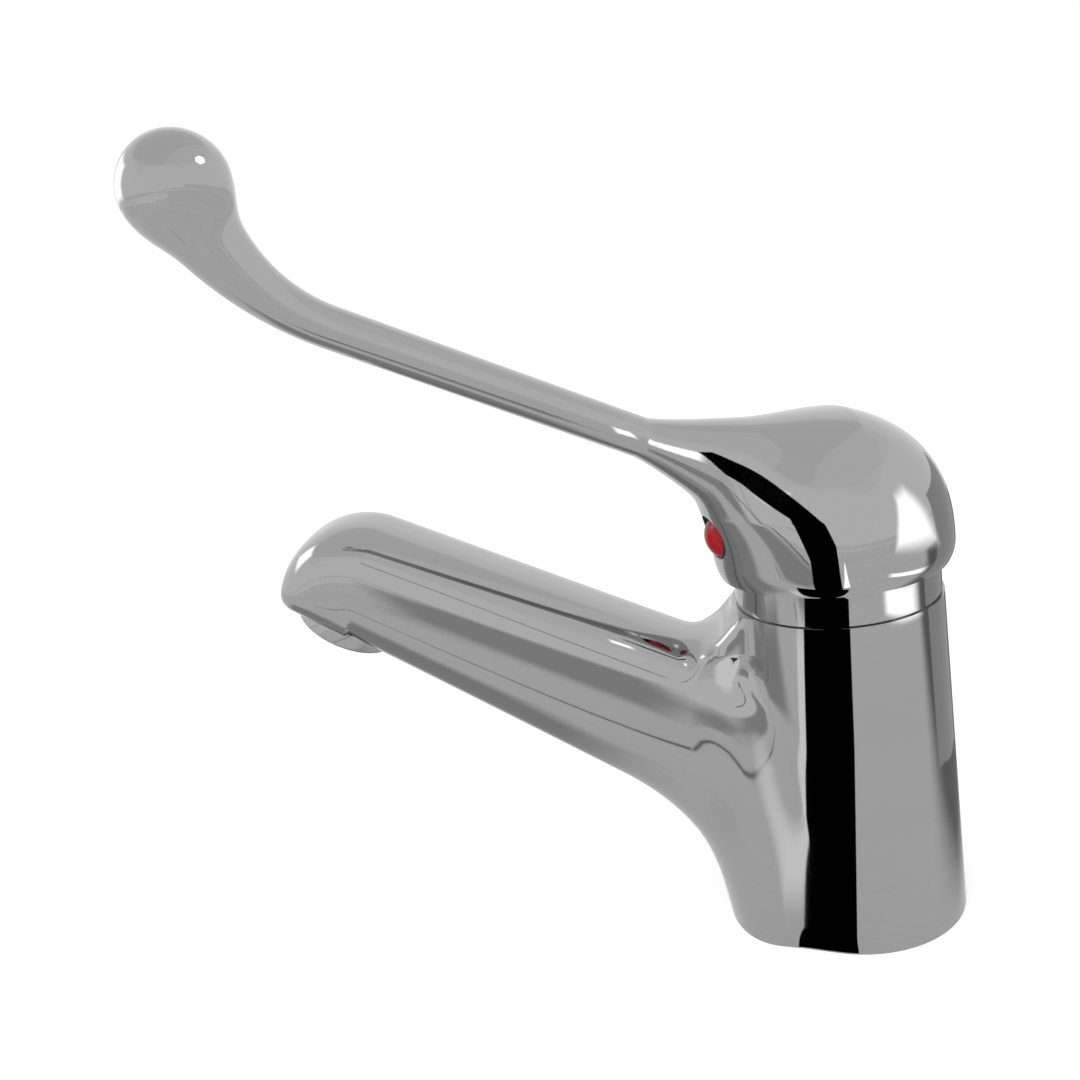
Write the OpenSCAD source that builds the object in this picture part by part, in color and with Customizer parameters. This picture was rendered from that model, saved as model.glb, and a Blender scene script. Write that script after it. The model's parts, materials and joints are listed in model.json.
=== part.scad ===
// Basin mixer tap: one-piece body and spout, ceramic disc cartridge, long clinical lever.
// Millimetres. The origin is the middle of the foot on the deck, +Z is up, the spout runs along -Y.

/* [Body] */
// Radius of the foot on the deck
base_r = 25.6; // [25:0.1:28]
// Radius of the top of the column, under the collar ring
neck_r = 24.4; // [24.2:0.1:24.8]
// Height of the column's top edge, where the collar ring stands
body_h = 82.2; // [81.6:0.1:82.4]
// Bevel on the foot and on the top edge
body_bevel = 0.5; // [0.3:0.1:0.8]
// Radius of the hollow under the foot
recess_r = 19.5; // [18.5:0.5:20]
// Depth of the hollow under the foot
recess_d = 14; // [10:1:18]

/* [Spout] */
// Distance from the column's axis to the tip of the nose
nose_s = 134.5; // [131:0.5:140]
// Half width of the spout
spout_hw = 16; // [15:0.5:17]
// Slope of the spout's top line in degrees
top_angle = 26.1; // [25.5:0.1:26.7]
// Slope of the spout's underside in degrees
under_angle = 33.9; // [33:0.1:34.4]
// Distance from the axis to the foot of the prow, where the top line starts
prow_foot_s = 31.5; // [30:0.5:33]
// Depth of the prow's foot below the column's top edge
prow_drop = 8.8; // [7:0.2:10]
// Distance from the axis to the front edge of the prow's flat top
prow_top_s = 23.4; // [22.5:0.1:25]
// Half width of the prow
prow_hw = 13.2; // [12:0.2:14]
// Depth of the underside below the column's top edge, measured where the spout leaves the column
under_drop = 57.3; // [56:0.1:58.5]
// Distance from the axis to the front wall at the deck
front_foot_s = 31; // [30:0.5:32]
// Lean of the front wall from upright in degrees
front_lean = 12; // [9:1:15]
// Size of the soft blend between the front wall and the underside
root_blend = 16; // [12:1:20]
// Length of the rounded nose
nose_len = 28; // [26:0.5:30]
// Height above the column's top edge at which the nose closes
nose_rise = 12.5; // [11.3:0.1:13.8]
// Half width of the column's fuller front at the deck
foot_hw = 21.5; // [20:0.5:22.5]
// Distance from the axis to the middle of that fuller front at the deck
foot_mid = 14; // [12:0.5:16]
// Depth below the column's top edge at which its fuller front ends
foot_drop = 24.2; // [20:1:32]
// Squareness of the spout's section, where 2 is an ellipse
spout_square = 2.7; // [2.3:0.1:3.2]

/* [Waterways] */
// Wall between the narrow water channel and the hot and cold ports
channel_wall = 1.5; // [1.3:0.1:2]
// Radius of the cored stretch in the spout
core_r = 9; // [7:0.5:9.5]
// Distance from the axis to the start of the cored stretch
core_s = 44; // [42:1:50]
// Radius of each cartridge port
port_r = 2.8; // [2.4:0.1:3]
// Side offset of the hot and cold ports from the cartridge's edge
port_inset = 8; // [7.8:0.1:8.2]
// Forward offset of the hot and cold ports
port_s = 4; // [3.5:0.1:4.5]
// Offset of the mixed water port from the cartridge's edge
mixed_inset = 9; // [8.6:0.1:9.4]
// Wall radius of the hose threads
inlet_r = 4.5; // [4.3:0.1:4.6]
// Length of the hose threads
inlet_len = 13; // [10:1:14]
// Wall radius of the fixing stud's thread
stud_r = 3.4; // [3:0.1:4]
// Rearward offset of the fixing stud
stud_y = 13.5; // [13:0.5:14]
// Length of the fixing stud's thread
stud_len = 15; // [12:1:16]

/* [Aerator] */
// Distance from the axis to the middle of the outlet
outlet_s = 121.4; // [120:0.2:123]
// Height of the middle of the outlet above the column's top edge
outlet_rise = 1.6; // [1:0.1:2.2]
// Forward tilt of the water jet in degrees
outlet_tilt = 32; // [30:1:34]
// Radius of the rim that shows under the nose
rim_r = 12.5; // [12.2:0.1:13]
// Height of that rim
rim_h = 4.2; // [3.6:0.1:4.4]
// Radius of the sleeve's thread
sleeve_r = 11.6; // [11:0.1:12]
// Length of the sleeve's thread
sleeve_len = 7; // [6:0.5:8]
// Wall of the sleeve
sleeve_wall = 1.4; // [1.1:0.1:1.8]
// Thickness of the rubber washer above the sleeve
washer_t = 2; // [1.5:0.1:2.4]
// Thickness of the screen on the insert
screen_t = 1; // [0.8:0.1:1.4]
// Radius of the holes in the screen and the insert
screen_hole_r = 1.1; // [0.8:0.1:1.2]
// Distance between neighbouring holes in the screen and the insert
screen_pitch = 3.4; // [3:0.1:3.6]

/* [Collar and nut] */
// Radius of the collar ring
collar_r = 23.9; // [23.5:0.1:24]
// Height of the collar ring
collar_h = 7.7; // [7.5:0.1:8]
// Wall of the collar ring
collar_wall = 2.6; // [2:0.1:2.8]
// Height of the inner foot of the collar ring
collar_foot = 1.5; // [1.2:0.1:2]
// Width of the band between the nut's thread and the collar ring's outside
collar_band = 4.5; // [4.2:0.1:4.8]
// Height of the nut's round flange
nut_flange_h = 2.5; // [2:0.1:3]
// Height of the nut above the top of the cartridge
nut_proud = 1.1; // [0.8:0.1:1.4]

/* [Cartridge] */
// Depth of the chamber that the cartridge stands in, below the column's top edge
chamber_d = 28.2; // [27.8:0.1:28.4]
// Step from the nut's thread in to the cartridge's lower part
cart_inset = 1.9; // [1.6:0.1:2.2]
// Step from the cartridge's lower part in to its upper part
cart_step = 2; // [1.8:0.1:2.2]
// Wall of the cartridge housing
cart_wall = 1.3; // [1.1:0.1:1.5]
// Thickness of the cartridge base
cart_base_t = 7.2; // [7:0.1:7.5]
// Height of the cartridge's lower part above its base
cart_low_h = 15.5; // [15.3:0.1:16]
// Thickness of the lip that holds the carrier down
cart_lip = 1.4; // [1.2:0.1:1.6]
// Width of the ledge from the cartridge's edge to the opening in that lip
mouth_inset = 6.5; // [5.5:0.5:7]
// Height of the port seals
seal_h = 1.6; // [1.4:0.1:1.8]
// Wall of the port seals
seal_wall = 1.6; // [1.3:0.1:1.8]
// Thickness of the disc gasket
gasket_t = 1.2; // [1:0.1:1.4]
// Depth of the disc gasket's seat in the cartridge base
gasket_seat = 0.7; // [0.5:0.1:0.8]
// Thickness of the fixed disc
fixed_t = 4; // [3.6:0.1:4.2]
// Step from the cartridge's edge in to the moving disc and its driver
moving_inset = 6; // [5.7:0.1:6.4]
// Thickness of the moving disc
moving_t = 3.9; // [3.4:0.1:4]
// Depth of the mixing pocket in the moving disc
pocket_d = 2; // [1.5:0.1:2.4]
// Height of the disc driver
driver_h = 5.4; // [5.2:0.1:5.6]
// Height of the carrier that turns with the handle
carrier_h = 13.3; // [13:0.1:13.4]

/* [Stem] */
// Height of the lift pivot above the column's top edge
pivot_rise = 4; // [3.8:0.1:4.2]
// Radius of the pivot pin
pin_r = 1.5; // [1.3:0.1:1.6]
// Radius of the stem's round part
stem_r = 3.9; // [3.6:0.1:4]
// Width of the stem's square part
stem_sq = 8; // [7:0.2:8.2]
// Height of the top of the stem above the hub's foot
stem_rise = 25.8; // [22:0.1:26.8]
// Distance from the pivot down to the middle of the stem's ball tip
tip_drop = 12; // [11.8:0.1:12.2]
// Radius of the ball tip
tip_r = 3.2; // [3:0.1:3.3]
// Wall of the square sleeve between the stem and the hub
sleeve_sq_wall = 1; // [0.8:0.1:1.2]
// Radius of the grub screw
grub_r = 2.5; // [2:0.1:2.6]
// Length of the grub screw
grub_len = 8; // [6:0.5:9]

/* [Lever] */
// Turn of the handle from the spout's line in degrees, positive to the cold side
handle_turn = 22; // [-40:1:40]
// Largest radius of the hub
hub_r = 27.3; // [26.8:0.1:28]
// Height of the hub's widest belt above its foot
belt_rise = 4.8; // [4:0.1:6.8]
// Height of the hub
hub_h = 34.6; // [34:0.1:36]
// Squareness of the hub's outline, where 2 is an ellipse
hub_square = 2.25; // [2.1:0.05:2.4]
// Distance from the axis to the middle of the hub's fuller front
chin_s = 10; // [9:0.5:11]
// How much the front's radius grows from its foot to its top
chin_flare = 4; // [3:0.2:5]
// Height above the hub's foot at which the fuller front is widest
chin_rise = 16.8; // [15:0.1:18]
// Thickness of the hub's lower lip
hub_lip = 1.3; // [1:0.1:1.5]
// Radius of the boss that holds the stem
boss_r = 9; // [8.4:0.1:9.4]
// Height of the boss's lower end above the hub's foot
boss_rise = 6.8; // [6.4:0.1:7.8]
// Slope of the arm in degrees
arm_angle = 29; // [27:0.5:31]
// Height of the arm's middle line above the hub's foot where it passes the distance below
arm_rise = 50.1; // [49.3:0.1:51]
// Distance from the axis at which that height is taken
arm_s = 66; // [65:0.5:67]
// Half thickness of the arm
arm_ht = 4.5; // [4:0.1:5.5]
// Half width of the arm
arm_hw = 6.2; // [5.5:0.1:7.5]
// Half depth of the arm's root inside the hub
root_ht = 20; // [17:0.5:20.5]
// Half width of the arm's root inside the hub
root_hw = 19; // [16:0.5:20]
// Rise of the root's middle line where it leaves the hub
root_raise = 0.8; // [0:0.1:1.2]
// Distance from the axis to where the root has thinned to the plain arm
arm_out = 44; // [42:1:50]
// Distance from the axis to the middle of the ball end
knob_s = 130.7; // [128:0.1:134]
// Height of the middle of the ball end above the hub's foot
knob_rise = 103.5; // [100:0.1:107]
// Radius of the ball end
knob_r = 11.3; // [10.8:0.1:12.5]
// Distance from the axis to the point where the arm starts to bend up
bend_s = 106; // [104:0.5:108]
// Distance from the axis to the corner of the bend
bend_corner_s = 124; // [122:0.5:126]

/* [Index button] */
// Height of the button's middle above the hub's foot
index_rise = 11.6; // [11:0.1:13]
// Radius of the dark holder
plug_r = 5.2; // [4.8:0.1:5.4]
// Length of the holder
plug_len = 7; // [6:0.5:7.4]
// Wall of the holder round the lens
plug_wall = 0.6; // [0.5:0.1:0.8]
// How far the holder stands proud of the hub
plug_proud = 0.9; // [0.6:0.1:1.2]
// Height of the lens's dome above the holder
lens_dome = 2.2; // [1.8:0.1:2.6]
// Depth of the lens in the holder
lens_seat = 1.6; // [1.2:0.1:2]

/* [Clearances] */
// Gap between the collar ring's path and the hub's hollow
hub_gap = 0.15; // [0.12:0.01:0.18]
// Gap between the hub's lip and the collar ring's top
lip_gap = 0.3; // [0.2:0.05:0.4]
// Gap round a piece that moves in another
run_gap = 0.3; // [0.25:0.05:0.35]
// Gap between the two ceramic discs
disc_gap = 0.1; // [0.05:0.01:0.15]
// Gap round a seated piece
seat_gap = 0.1; // [0.05:0.01:0.15]
// Gap round the pivot pin in the stem
pin_gap = 0.05; // [0.03:0.01:0.08]
// Gap round the pivot pin in the carrier
press_gap = 0.02; // [0.01:0.01:0.03]

/* [Seal at the foot] */
// Step from the foot's edge in to the base gasket
foot_seal_inset = 2; // [1.8:0.1:2.2]
// Width of the base gasket
foot_seal_w = 2.4; // [2:0.1:2.6]
// Thickness of the base gasket
foot_seal_t = 2; // [1.5:0.1:2.5]

/* [Hidden] */
$fn = 64;
over = 1;
chrome = [0.62, 0.63, 0.64];
brass = [0.72, 0.58, 0.28];
black = [0.06, 0.06, 0.07];
white = [0.86, 0.86, 0.84];
grey = [0.45, 0.46, 0.48];
ceramic = [0.93, 0.91, 0.86];
red = [0.62, 0.03, 0.04];

// Number of points round a lofted section
ring_n = 28;
// Number of steps along the spout's straight run, its nose, the arm, its bend and the fuller front
run_n = 9;
nose_n = 8;
arm_n = 7;
bend_n = 6;
foot_n = 7;

// Radii, worked inwards from the collar ring
nut_r = collar_r - collar_band;
cart_r = nut_r - cart_inset;
cart_top_r = cart_r - cart_step;
low_bore_r = cart_r - cart_wall;
top_bore_r = cart_top_r - cart_wall;
carrier_r = top_bore_r - run_gap;
cart_mouth_r = cart_r - mouth_inset;
moving_r = cart_r - moving_inset;
thread_bore_r = nut_r + seat_gap;
flange_r = collar_r - collar_wall - run_gap;
port_x = cart_r - port_inset;
mixed_y = cart_r - mixed_inset;
port_spots = [[port_x, -port_s], [-port_x, -port_s], [0, mixed_y]];
channel_r = port_x - port_r - channel_wall;
pocket_r = 0.6 * mixed_y;
pin_half = carrier_r - 3 * run_gap - pin_r;

// Heights of the cartridge's stack, from the chamber floor up
floor_z = body_h - chamber_d;
cart_z = floor_z + run_gap;
base_top = cart_z + cart_base_t;
gasket_z = base_top - gasket_seat;
fixed_z = gasket_z + gasket_t;
moving_z = fixed_z + fixed_t + disc_gap;
driver_z = moving_z + moving_t;
carrier_z = driver_z + driver_h + run_gap + disc_gap;
step_z = base_top + cart_low_h;
lip_z = carrier_z + carrier_h + run_gap;
cart_top = lip_z + cart_lip;
nut_top = cart_top + nut_proud;
foot_z = body_h + collar_foot;
shelf_z = step_z - run_gap;
collar_top = body_h + collar_h;

// The hub's hollow is a ball about the lift pivot that clears the collar ring's farthest corner
pivot_z = body_h + pivot_rise;
corner_up = norm([collar_r, collar_top - pivot_z]);
corner_down = norm([collar_r, body_h - pivot_z]);
hollow_r = max(corner_up, corner_down) + hub_gap;
hub_z = collar_top + lip_gap;
hub_belt_z = hub_z + belt_rise;
hub_top = hub_z + hub_h;
lip_in = sqrt(pow(hollow_r, 2) - pow(hub_z - pivot_z, 2));
lip_r = lip_in + hub_lip;
chin_r = lip_r - chin_s;
chin_top = hub_z + chin_rise;
wide_r = chin_r + chin_flare;
chin_cap = 11;
hub_steps = 14;
boss_z = hub_z + boss_rise;
stem_top = hub_z + stem_rise;
socket_sq = stem_sq + 2 * sleeve_sq_wall + 4 * seat_gap;
socket_top = stem_top + seat_gap;
boss_top = socket_top + 2 * sleeve_sq_wall;
square_z = cart_top + over;
slot_half = stem_r + tip_r + over / 2;
neck_top = pivot_z - tip_drop + tip_r + over;
index_z = hub_z + index_rise;
index_face = chin_s + chin_r + chin_flare * index_rise / chin_rise;
hex_r = grub_r * 0.55;
hex_depth = grub_len * 0.4;

foot_seal_r = base_r - foot_seal_inset;
foot_seal_in = foot_seal_r - foot_seal_w;

// The outlet and what sits in it
outlet_z = body_h + outlet_rise;
cavity_top = rim_h + sleeve_len + washer_t;
insert_r = sleeve_r - sleeve_wall - seat_gap;
insert_z = screen_t + seat_gap;
insert_floor = 2;
insert_top = rim_h + sleeve_len - screen_t;

// Channel from under the mixed water port to the jet's axis, as a straight slanting bore
channel_drop = 14;
channel_end = rim_h + sleeve_len;
channel_lo = [-mixed_y, floor_z - channel_drop];
channel_hi = [outlet_s - channel_end * sin(outlet_tilt), outlet_z + channel_end * cos(outlet_tilt)];
channel_run = channel_hi - channel_lo;
channel_angle = atan2(channel_run[1], channel_run[0]);

// Soft minimum of two lines
function blend(a, b, k) =
    let (h = max(0, min(1, 0.5 + 0.5 * (b - a) / k)))
    b * (1 - h) + a * h - k * h * (1 - h);

// Point of a rounded rectangle's outline at an angle
function rounded(a, hw, hh, n) =
    [hw * sign(cos(a)) * pow(abs(cos(a)), 2 / n), hh * sign(sin(a)) * pow(abs(sin(a)), 2 / n)];

// Side faces and end caps of a stack of equal rings
function loft_faces(rings, n) = concat(
    [for (i = [0:rings - 2], j = [0:n - 1])
        [i * n + j, (i + 1) * n + (j + 1) % n, i * n + (j + 1) % n]],
    [for (i = [0:rings - 2], j = [0:n - 1])
        [i * n + j, (i + 1) * n + j, (i + 1) * n + (j + 1) % n]],
    [[for (j = [0:n - 1]) j]],
    [[for (j = [0:n - 1]) (rings - 1) * n + n - 1 - j]]);

// Lines of the spout by the distance from the axis
below_deck = 20;
root_step = 3;
nose_square = 2.5;
nose_taper = 0.8;
nose_tip = 0.04;
prow_foot_z = body_h - prow_drop;
prow_low_z = prow_foot_z - 2 * prow_drop;
under_z = body_h - under_drop;
nose_z = body_h + nose_rise;
nose_start = nose_s - nose_len;
nose_turn = nose_start + nose_len / 6;
function top_line(s) = prow_foot_z + (s - prow_foot_s) * tan(top_angle);
function under_line(s) = under_z + (s - front_foot_s) * tan(under_angle);
function front_line(s) = max(-below_deck, (s - front_foot_s) / tan(front_lean));
function under_side(s) = blend(front_line(s), under_line(s), root_blend);
function nose_fade(s) =
    let (t = max(0, s - nose_start) / nose_len)
    pow(max(0, 1 - pow(t, nose_square)), 1 / nose_square);
function spout_ring(s) =
    let (k = max(nose_tip, nose_fade(s)))
    let (top = nose_z + (top_line(min(s, nose_turn)) - nose_z) * k)
    let (low = nose_z + (under_side(s) - nose_z) * k)
    [for (j = [0:ring_n - 1])
        let (hw = spout_hw * pow(k, nose_taper))
        let (p = rounded(360 * j / ring_n, hw, (top - low) / 2, spout_square))
        [p[0], -s, p[1] + (top + low) / 2]];
root_s = front_foot_s - root_step;
run_s = root_s + 3 * root_step;
spout_steps = concat(
    [root_s - 4 * root_step, root_s, root_s + root_step, root_s + 2 * root_step, run_s],
    [for (i = [1:run_n]) run_s + (nose_start - run_s) * i / run_n],
    [for (i = [1:nose_n]) nose_start + nose_len * sin(90 * i / nose_n)]);

// Rings of the column's fuller front, which narrows upwards and leans with the front wall
foot_top = body_h - foot_drop;
foot_reach = front_foot_s - foot_mid - 4 * seat_gap;
foot_shift = foot_top * tan(front_lean) / 3;
foot_narrow = foot_hw - spout_hw + over;
function foot_ring(t) =
    [for (j = [0:ring_n - 1])
        let (p = rounded(360 * j / ring_n, foot_hw - foot_narrow * t, foot_reach, spout_square))
        [p[0], p[1] - foot_mid - t * foot_shift, -over + (foot_top + over) * t]];

// Middle line of the arm: a straight run, then a bend up into the ball
function arm_line(s) = hub_z + arm_rise + (s - arm_s) * tan(arm_angle);
root_start = 6;
bend_r = 0.85 * knob_r;
arm_square = 2.2;
swell_power = 1.25;
bend_a = [bend_s, arm_line(bend_s)];
bend_b = [bend_corner_s, arm_line(bend_corner_s)];
knob_z = hub_z + knob_rise;
bend_c = [knob_s, knob_z];
function bend_at(t) =
    pow(1 - t, 2) * bend_a + 2 * t * (1 - t) * bend_b + pow(t, 2) * bend_c;
function bend_dir(t) = 2 * (1 - t) * (bend_b - bend_a) + 2 * t * (bend_c - bend_b);
function lever_ring(p, dir, ht, hw) =
    let (u = dir / norm(dir))
    [for (j = [0:ring_n - 1])
        let (q = rounded(360 * j / ring_n, hw, ht, arm_square))
        [q[0], -(p[0] - u[1] * q[1]), p[1] + u[0] * q[1]]];
slope = [cos(arm_angle), sin(arm_angle)];
// Swell of the arm towards the hub, from 1 inside it to 0 on the plain arm
function swell(s) = pow(max(0, (arm_out - s) / (arm_out - root_start)), swell_power);
// Height of the arm's middle, raised a little where it leaves the hub
function root_line(s) = arm_line(s) + root_raise * 4 * swell(s) * (1 - swell(s));
root_n = 8;
root_steps = [for (i = [0:root_n]) root_start + (arm_out - root_start) * i / root_n];
lever_rings = concat(
    [for (s = root_steps)
        lever_ring([s, root_line(s)], slope,
                   arm_ht + (root_ht - arm_ht) * swell(s), arm_hw + (root_hw - arm_hw) * swell(s))],
    [for (i = [1:arm_n]) let (s = arm_out + (bend_s - arm_out) * i / arm_n)
        lever_ring([s, arm_line(s)], slope, arm_ht, arm_hw)],
    [for (i = [1:bend_n]) let (t = i / bend_n)
        lever_ring(bend_at(t), bend_dir(t), arm_ht + (bend_r - arm_ht) * t * t,
                   arm_hw + (bend_r - arm_hw) * t * t)]);

// Places things in the handle's turned direction
module turned() {
    rotate([0, 0, handle_turn]) children();
}

module ring(r_out, r_in, h) {
    difference() {
        cylinder(r = r_out, h = h);
        translate([0, 0, -over]) cylinder(r = r_in, h = h + 2 * over);
    }
}

// Places things on the water jet's axis, with +Z up into the spout and zero at the outlet
module at_outlet() {
    translate([0, -outlet_s, outlet_z]) rotate([-outlet_tilt, 0, 0]) children();
}

module column() {
    rotate_extrude()
        polygon([[0, 0], [base_r - body_bevel, 0], [base_r, body_bevel],
                 [neck_r, body_h - body_bevel], [neck_r - body_bevel, body_h], [0, body_h]]);
}

module spout() {
    polyhedron(points = [for (s = spout_steps) each spout_ring(s)],
               faces = loft_faces(len(spout_steps), ring_n));
}

// The column is fuller at its front, as a rounded box that narrows upwards
module foot_front() {
    polyhedron(points = [for (i = [0:foot_n]) each foot_ring(i / foot_n)],
               faces = loft_faces(foot_n + 1, ring_n));
}

module prow() {
    translate([prow_hw, 0, 0]) rotate([90, 0, -90]) linear_extrude(height = 2 * prow_hw)
        polygon([[0, body_h], [prow_top_s, body_h], [prow_foot_s, prow_foot_z],
                 [prow_foot_s, prow_low_z], [0, prow_low_z]]);
}

module channel(from_s, to_s, r) {
    start = channel_lo + channel_run * (from_s - channel_lo[0]) / channel_run[0];
    translate([0, -start[0], start[1]]) rotate([90 - channel_angle, 0, 0])
        cylinder(r = r, h = (to_s - from_s) / cos(channel_angle));
}

module body_casting() {
    color(chrome)
    difference() {
        union() {
            column();
            foot_front();
            spout();
            prow();
        }
        translate([-2 * base_r, -2 * base_r, -2 * below_deck])
            cube([4 * base_r, 4 * base_r, 2 * below_deck]);
        translate([0, 0, -over]) cylinder(r = recess_r, h = recess_d + over);
        translate([0, 0, floor_z]) cylinder(r = cart_r + seat_gap, h = body_h);
        translate([0, 0, shelf_z]) cylinder(r = thread_bore_r, h = body_h);
        translate([0, 0, -over]) ring(foot_seal_r + seat_gap,
                                      foot_seal_in - seat_gap, foot_seal_t + over);
        for (i = [0, 1]) {
            translate([port_spots[i][0], port_spots[i][1], 0]) {
                cylinder(r = inlet_r, h = recess_d + inlet_len);
                cylinder(r = port_r, h = floor_z + over);
            }
        }
        translate([0, stud_y, 0]) cylinder(r = stud_r, h = recess_d + stud_len);
        translate([0, mixed_y, channel_lo[1]]) cylinder(r = port_r, h = floor_z);
        channel(channel_lo[0], core_s + over, channel_r);
        channel(core_s, channel_hi[0], core_r);
        at_outlet() translate([0, 0, -below_deck]) {
            cylinder(r = sleeve_r + seat_gap, h = below_deck + cavity_top);
            cylinder(r = rim_r + seat_gap, h = below_deck + rim_h);
        }
    }
}

module collar_ring() {
    color(chrome) translate([0, 0, body_h]) {
        ring(collar_r, collar_r - collar_wall, collar_h);
        ring(collar_r, thread_bore_r + seat_gap, collar_foot);
    }
}

module cartridge_nut() {
    color(brass)
    difference() {
        union() {
            translate([0, 0, step_z]) cylinder(r = nut_r, h = foot_z - step_z);
            translate([0, 0, foot_z]) cylinder(r = flange_r, h = nut_flange_h);
            translate([0, 0, foot_z]) cylinder(r = flange_r - seat_gap, h = nut_top - foot_z, $fn = 6);
        }
        cylinder(r = cart_top_r + seat_gap, h = nut_top + over);
    }
}

module cartridge_housing() {
    color(white)
    difference() {
        union() {
            translate([0, 0, base_top]) cylinder(r = cart_r, h = cart_low_h);
            translate([0, 0, step_z]) cylinder(r = cart_top_r, h = cart_top - step_z);
        }
        translate([0, 0, base_top - over])
            cylinder(r = low_bore_r, h = carrier_z - base_top + over - run_gap);
        translate([0, 0, base_top]) cylinder(r = top_bore_r, h = lip_z - base_top);
        cylinder(r = cart_mouth_r, h = cart_top + over);
    }
}

module cartridge_base() {
    color(grey)
    difference() {
        translate([0, 0, cart_z]) cylinder(r = cart_r, h = cart_base_t);
        translate([0, 0, gasket_z]) cylinder(r = low_bore_r - seat_gap, h = cart_base_t);
        for (p = port_spots) {
            translate([p[0], p[1], 0]) {
                cylinder(r = port_r, h = cart_top);
                cylinder(r = port_r + seal_wall + seat_gap, h = floor_z + seal_h);
            }
        }
    }
}

module port_seals() {
    color(black)
    for (p = port_spots) {
        translate([p[0], p[1], floor_z]) ring(port_r + seal_wall, port_r, seal_h);
    }
}

module disc_gasket() {
    color(black)
    difference() {
        translate([0, 0, gasket_z]) cylinder(r = low_bore_r - 2 * seat_gap, h = gasket_t);
        for (p = port_spots) translate([p[0], p[1], 0]) cylinder(r = port_r, h = cart_top);
    }
}

module fixed_disc() {
    color(ceramic)
    difference() {
        translate([0, 0, fixed_z]) cylinder(r = low_bore_r - seat_gap, h = fixed_t);
        for (p = port_spots) translate([p[0], p[1], 0]) cylinder(r = port_r, h = cart_top);
    }
}

// The pocket stays over the mixed water port and reaches the other two as the disc moves forward
module moving_disc() {
    color(ceramic) turned()
    difference() {
        translate([0, 0, moving_z]) cylinder(r = moving_r, h = moving_t);
        translate([0, mixed_y / 2, moving_z - over]) cylinder(r = pocket_r, h = pocket_d + over);
    }
}

module disc_driver() {
    color(grey) turned()
    difference() {
        translate([0, 0, driver_z]) cylinder(r = moving_r, h = driver_h);
        translate([0, 0, pivot_z - tip_drop - tip_r - run_gap])
            cylinder(r = tip_r + run_gap, h = 2 * driver_h);
    }
}

module stem_carrier() {
    color(black) turned()
    difference() {
        translate([0, 0, carrier_z]) cylinder(r = carrier_r, h = carrier_h);
        translate([-stem_r - run_gap, -slot_half, carrier_z - over])
            cube([2 * (stem_r + run_gap), 2 * slot_half, carrier_h + 2 * over]);
        translate([-pin_half, 0, pivot_z]) rotate([0, 90, 0])
            cylinder(r = pin_r + press_gap, h = 2 * pin_half);
    }
}

module pivot_pin() {
    color(grey) turned()
    translate([-pin_half, 0, pivot_z]) rotate([0, 90, 0]) cylinder(r = pin_r, h = 2 * pin_half);
}

module control_stem() {
    color(brass) turned()
    difference() {
        union() {
            translate([0, 0, pivot_z - tip_drop]) sphere(r = tip_r);
            translate([0, 0, pivot_z - tip_drop]) cylinder(r = tip_r - 2 * run_gap, h = tip_drop);
            translate([0, 0, neck_top]) cylinder(r = stem_r, h = square_z - neck_top);
            square_rod(stem_sq, square_z, stem_top);
        }
        translate([-pin_half, 0, pivot_z]) rotate([0, 90, 0])
            cylinder(r = pin_r + pin_gap, h = 2 * pin_half);
    }
}

module square_rod(side, z0, z1) {
    translate([-side / 2, -side / 2, z0]) cube([side, side, z1 - z0]);
}

module stem_sleeve() {
    color(white) turned()
    difference() {
        square_rod(stem_sq + 2 * sleeve_sq_wall + 2 * seat_gap, boss_z, stem_top);
        square_rod(stem_sq + 2 * seat_gap, boss_z - over, stem_top + over);
        translate([0, 0, index_z]) rotate([90, 0, 0]) cylinder(r = grub_r + seat_gap, h = boss_r);
    }
}

module lever_arm() {
    polyhedron(points = [for (r = lever_rings) each r], faces = loft_faces(len(lever_rings), ring_n));
}

module hub_dome() {
    rotate_extrude()
        polygon(concat(
            [[0, hub_z], [lip_r, hub_z], [(lip_r + 2 * hub_r) / 3, (hub_z + hub_belt_z) / 2]],
            [for (i = [0:hub_steps]) let (a = 90 * i / hub_steps)
                [hub_r * pow(cos(a), 2 / hub_square),
                 hub_belt_z + (hub_top - hub_belt_z) * pow(sin(a), 2 / hub_square)]]));
}

// The fuller front of the hub, where the index button sits
module hub_chin() {
    translate([0, -chin_s, 0]) rotate_extrude()
        polygon(concat([[0, hub_z], [chin_r, hub_z]],
                       [for (a = [0:15:90]) [wide_r * cos(a), chin_top + chin_cap * sin(a)]]));
}

module lever_casting() {
    color(chrome) turned()
    difference() {
        union() {
            difference() {
                union() {
                    hub_dome();
                    hub_chin();
                    lever_arm();
                }
                translate([0, 0, pivot_z]) sphere(r = hollow_r, $fn = 96);
            }
            translate([0, 0, boss_z]) cylinder(r = boss_r, h = boss_top - boss_z);
            translate([0, -knob_s, knob_z]) sphere(r = knob_r);
        }
        square_rod(socket_sq, boss_z - over, socket_top);
        translate([0, 0, index_z]) rotate([90, 0, 0]) cylinder(r = grub_r + seat_gap, h = index_face);
        translate([0, -(index_face - plug_len + plug_proud), index_z]) rotate([90, 0, 0])
            cylinder(r = plug_r + seat_gap, h = 2 * plug_len);
    }
}

module grub_screw() {
    color(grey) turned()
    translate([0, -stem_sq / 2, index_z]) rotate([90, 0, 0])
    difference() {
        cylinder(r = grub_r, h = grub_len);
        translate([0, 0, grub_len - hex_depth]) cylinder(r = hex_r, h = grub_len, $fn = 6);
    }
}

// Places things on the button's axis, with +Z out of the hub and zero at the holder's face
module at_index() {
    turned() translate([0, -(index_face + plug_proud), index_z]) rotate([90, 0, 0]) children();
}

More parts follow.
